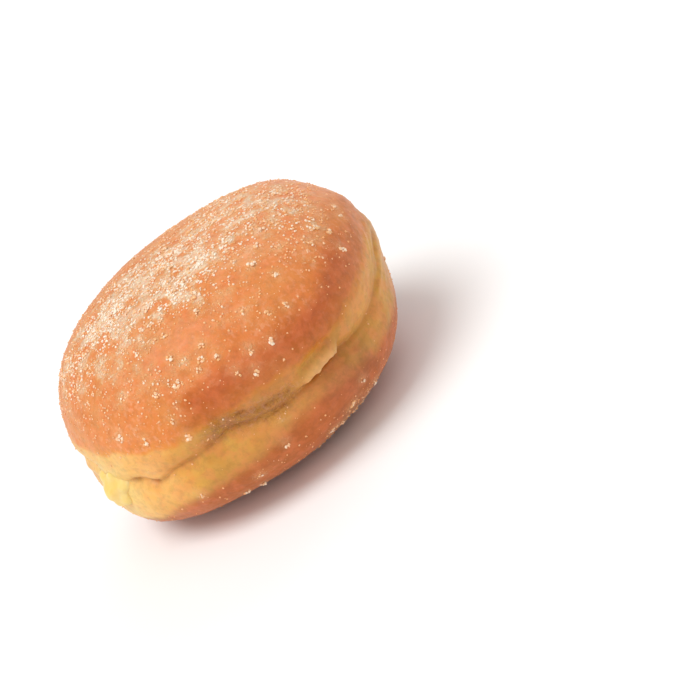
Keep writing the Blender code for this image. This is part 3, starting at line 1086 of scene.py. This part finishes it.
def build_custard(name, grow):
    """Pocket, neck, dab, drip and blobs melted into one soft body, thinned and lightly folded."""
    hole, outward, across, upward = dough_frame(HOLE_TURN, HOLE_LIFT)
    middle = Vector((SEAM_OFFSET.x, SEAM_OFFSET.y, hole.z))
    dab_middle = hole - outward * DAB_SUNK
    drip_middle = hole - upward * DRIP_DROP - outward * DRIP_SUNK
    skin = (outward, across, upward)
    builder = bmesh.new()
    add_ball(builder, middle, POCKET_RADII, Matrix.Identity(3))
    add_tapered_rod(builder, middle, dab_middle, NECK_ROOT_RADIUS, NECK_TIP_RADIUS)
    add_ball(builder, dab_middle, DAB_RADII, skin)
    add_ball(builder, drip_middle, DRIP_RADII, skin)
    for aside, rise, sunk, size in CUSTARD_BLOBS:
        shift = across * aside + upward * rise - outward * sunk
        add_ball(builder, hole + shift * MILLIMETRE, Vector((size, size, size)) * MILLIMETRE, skin)
    custard = new_piece(name, builder)
    melt = custard.modifiers.new("melt", "REMESH")
    melt.mode = "VOXEL"
    melt.voxel_size = CUSTARD_VOXEL
    custard.modifiers.new("soften", "SMOOTH").iterations = CUSTARD_SMOOTHING
    custard.modifiers.new("thin", "DECIMATE").ratio = CUSTARD_THINNING
    apply_modifiers(custard)
    normals = [vert.normal.copy() for vert in custard.data.vertices]
    for vert, normal in zip(custard.data.vertices, normals):
        vert.co += normal * (grow + CUSTARD_FOLD_DEPTH * noise.noise(vert.co * CUSTARD_FOLD_SCALE))
    return custard


def aim_camera(camera):
    """Put the camera where the photograph was taken, so that the seam's middle meets its pixel."""
    lift, roll = math.radians(CAMERA_ELEVATION), math.radians(CAMERA_ROLL)
    target = Vector((SEAM_OFFSET.x, SEAM_OFFSET.y, DROP - REST_CUT))
    away = Vector((0.0, -math.cos(lift), math.sin(lift)))
    facing = (-away).to_track_quat("-Z", "Y")
    level = facing @ Matrix.Rotation(-roll, 3, "Z").to_quaternion()
    focal = CAMERA_LENS / SENSOR_WIDTH * IMAGE_WIDTH
    shift = SEAM_MIDDLE_PIXEL - IMAGE_MIDDLE_PIXEL
    seen = Vector((shift.x, -shift.y, -focal)).normalized()
    turn_aside = seen.rotation_difference(Vector((0.0, 0.0, -1.0)))
    camera.location = target + away * CAMERA_DISTANCE
    camera.rotation_mode = "QUATERNION"
    camera.rotation_quaternion = level @ turn_aside


def add_soft_light(name, source, strength, spread, colour):
    """A wide, even light that comes from a direction, as from a large softbox far away."""
    light = bpy.data.lights.new(name, "SUN")
    light.angle = math.radians(spread)
    light.energy = strength
    light.color = colour
    lamp = bpy.data.objects.new(name, light)
    lamp.rotation_mode = "QUATERNION"
    lamp.rotation_quaternion = (-Vector(source)).to_track_quat("-Z", "Y")
    bpy.context.scene.collection.objects.link(lamp)


# Settings
def colour_property(name, description, red, green, blue):
    shade = linear(red, green, blue)
    return FloatVectorProperty(
        name=name, description=description, subtype="COLOR", min=0.0, max=1.0, default=shade
    )


class BerlinerDoughSettings(bpy.types.PropertyGroup):
    cuts: IntProperty(name="Cuts", description="Cuts in each side of the starting cube", default=114, min=8)
    crust_light: colour_property("Light crust", "Least toasted crust", 227, 140, 72)
    crust_middle: colour_property("Crust", "Crust over most of the top", 218, 124, 48)
    crust_dark: colour_property("Dark crust", "Most toasted crust", 181, 78, 0)
    edge_light: colour_property("Light edge", "Crust's edge where the side is pale", 238, 146, 38)
    edge_dark: colour_property("Dark edge", "Crust's edge where the side is toasted", 190, 122, 18)
    belt_pale: colour_property("Pale belt", "Least toasted belt", 243, 195, 106)
    belt_golden: colour_property("Golden belt", "Half toasted belt", 223, 166, 70)
    belt_tan: colour_property("Tan belt", "Toasted belt", 194, 137, 55)
    belt_brown: colour_property("Brown belt", "Most toasted belt", 173, 113, 46)
    belt_mottle: colour_property("Belt mottles", "What yellows the belt in patches", 255, 246, 222)
    under_golden: colour_property("Golden underside", "Where the underside begins to brown", 200, 138, 60)
    under_brown: colour_property("Brown underside", "Browned underside", 181, 92, 18)
    under_dark: colour_property("Dark underside", "Underside below the most toasted belt", 138, 68, 20)
    blotch_colour: colour_property("Blotches", "Rosy blotches of the crust", 239, 130, 80)
    fleck_colour: colour_property("Flecks", "Melted sugar in small flecks on the crust", 246, 180, 140)
    crumb_colour: colour_property("Crumb", "Pits of the torn crumb", 176, 108, 60)
    # Painted shade at the bottom of the crease, at its pits and along the upper crack
    crease_shade_colour: colour_property("Crease", "Bottom of the crease", 171, 105, 52)
    # Pale skin of the lip, lightened further by a painted highlight on its ridge
    lip_and_highlight_colour: colour_property("Lip", "Pale skin of the hanging lip", 243, 188, 124)
    smear_colour: colour_property("Smear", "Custard smeared beside the hole", 240, 216, 136)
    film_colour: colour_property("Sugar film", "Half melted sugar on the crust", 248, 205, 144)
    drift_colour: colour_property("Sugar drift", "Sugar where it lies thick", 254, 231, 196)
    film_strength: FloatProperty(
        name="Film strength", description="How much the film hides", default=0.8, min=0.0, max=1.0
    )


class BerlinerCustardSettings(bpy.types.PropertyGroup):
    light: colour_property("Light custard", "Lighter of the custard's two yellows", 246, 216, 142)
    deep: colour_property("Deep custard", "Deeper of the custard's two yellows", 241, 200, 108)


class BerlinerSugarSettings(bpy.types.PropertyGroup):
    grains: IntProperty(name="Fine grains", description="Number of fine grains", default=9500, min=0)
    white: colour_property("White sugar", "Dry crystals", 254, 239, 219)
    stained: colour_property("Stained sugar", "Clear crystals that show the crust's colour", 243, 186, 128)


class BerlinerStageSettings(bpy.types.PropertyGroup):
    floor_colour: FloatVectorProperty(
        name="Floor", description="Pale floor", subtype="COLOR", default=PALE
    )
    key_strength: FloatProperty(name="Key light", description="Watts a square metre", default=1.77, min=0.0)
    fill_strength: FloatProperty(name="Fill light", description="Watts a square metre", default=0.5, min=0.0)
    back_strength: FloatProperty(name="Back light", description="Watts a square metre", default=0.56, min=0.0)
    sky: FloatProperty(name="Sky", description="Strength of the even light all round", default=0.5, min=0.0)


# Operators
class BERLINER_OT_custard(bpy.types.Operator):
    """Build the custard that fills the doughnut and wells out of its hole"""

    bl_idname = "berliner.custard"
    bl_label = "Custard"

    def execute(self, context):
        custard = build_custard("custard_filling", 0.0)
        custard.data.shade_smooth()
        finish_piece(custard, custard_material(context.scene.berliner_custard), "custard")
        return {"FINISHED"}


class BERLINER_OT_dough(bpy.types.Operator):
    """Build the dough with its crust, belt, crease and lip"""

    bl_idname = "berliner.dough"
    bl_label = "Dough"

    def execute(self, context):
        settings = context.scene.berliner_dough
        finish_piece(build_dough(settings), crust_material(settings), "dough")
        return {"FINISHED"}


class BERLINER_OT_sugar(bpy.types.Operator):
    """Scatter the large lumps of sugar and the fine grains between them"""

    bl_idname = "berliner.sugar"
    bl_label = "Sugar"

    def execute(self, context):
        settings = context.scene.berliner_sugar
        material = sugar_material(settings)
        finish_piece(build_sugar_lumps(), material)
        finish_piece(build_fine_sugar(settings.grains), material)
        return {"FINISHED"}


class BERLINER_OT_stage(bpy.types.Operator):
    """Set up the pale floor, the soft lights and the camera of the photograph"""

    bl_idname = "berliner.stage"
    bl_label = "Stage"

    def execute(self, context):
        settings = context.scene.berliner_stage
        builder = bmesh.new()
        bmesh.ops.create_grid(builder, x_segments=1, y_segments=1, size=FLOOR_HALF_WIDTH)
        floor = new_piece("pale_floor", builder)
        floor.data.materials.append(floor_material(settings.floor_colour))

        world = bpy.data.worlds.new("soft_sky")
        world.use_nodes = True
        background = world.node_tree.nodes["Background"].inputs
        background["Color"].default_value = (*WHITE, 1.0)
        background["Strength"].default_value = settings.sky
        context.scene.world = world
        add_soft_light("key", KEY_SOURCE, settings.key_strength, KEY_SPREAD, WARM_WHITE)
        add_soft_light("fill", FILL_SOURCE, settings.fill_strength, FILL_SPREAD, WHITE)
        add_soft_light("back", BACK_SOURCE, settings.back_strength, BACK_SPREAD, WARM_WHITE)

        camera = bpy.data.objects.new("camera", bpy.data.cameras.new("camera"))
        camera.data.lens = CAMERA_LENS
        camera.data.sensor_width = SENSOR_WIDTH
        camera.data.clip_start = CAMERA_NEAREST
        context.scene.collection.objects.link(camera)
        context.scene.camera = camera
        aim_camera(camera)
        context.scene.view_settings.view_transform = "Standard"
        return {"FINISHED"}


class BERLINER_PT_panel(bpy.types.Panel):
    """Settings and steps of the doughnut"""

    bl_label = "Berliner"
    bl_idname = "BERLINER_PT_panel"
    bl_space_type = "VIEW_3D"
    bl_region_type = "UI"
    bl_category = "Berliner"

    def draw(self, context):
        for group in SETTINGS:
            box = self.layout.box()
            settings = getattr(context.scene, group)
            for name in settings.__annotations__:
                box.prop(settings, name)
        for step in STEPS:
            self.layout.operator(step.bl_idname)


SETTINGS = {
    "berliner_dough": BerlinerDoughSettings,
    "berliner_custard": BerlinerCustardSettings,
    "berliner_sugar": BerlinerSugarSettings,
    "berliner_stage": BerlinerStageSettings,
}
STEPS = (BERLINER_OT_stage, BERLINER_OT_dough, BERLINER_OT_custard, BERLINER_OT_sugar)


def register():
    for group, settings in SETTINGS.items():
        bpy.utils.register_class(settings)
        setattr(bpy.types.Scene, group, PointerProperty(type=settings))
    for step in STEPS:
        bpy.utils.register_class(step)
    bpy.utils.register_class(BERLINER_PT_panel)


def unregister():
    bpy.utils.unregister_class(BERLINER_PT_panel)
    for step in reversed(STEPS):
        bpy.utils.unregister_class(step)
    for group, settings in SETTINGS.items():
        delattr(bpy.types.Scene, group)
        bpy.utils.unregister_class(settings)


def main():
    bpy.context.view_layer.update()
    register()
    bpy.ops.berliner.stage()
    bpy.ops.berliner.dough()
    bpy.ops.berliner.custard()
    bpy.ops.berliner.sugar()


if __name__ == "__main__":
    main()
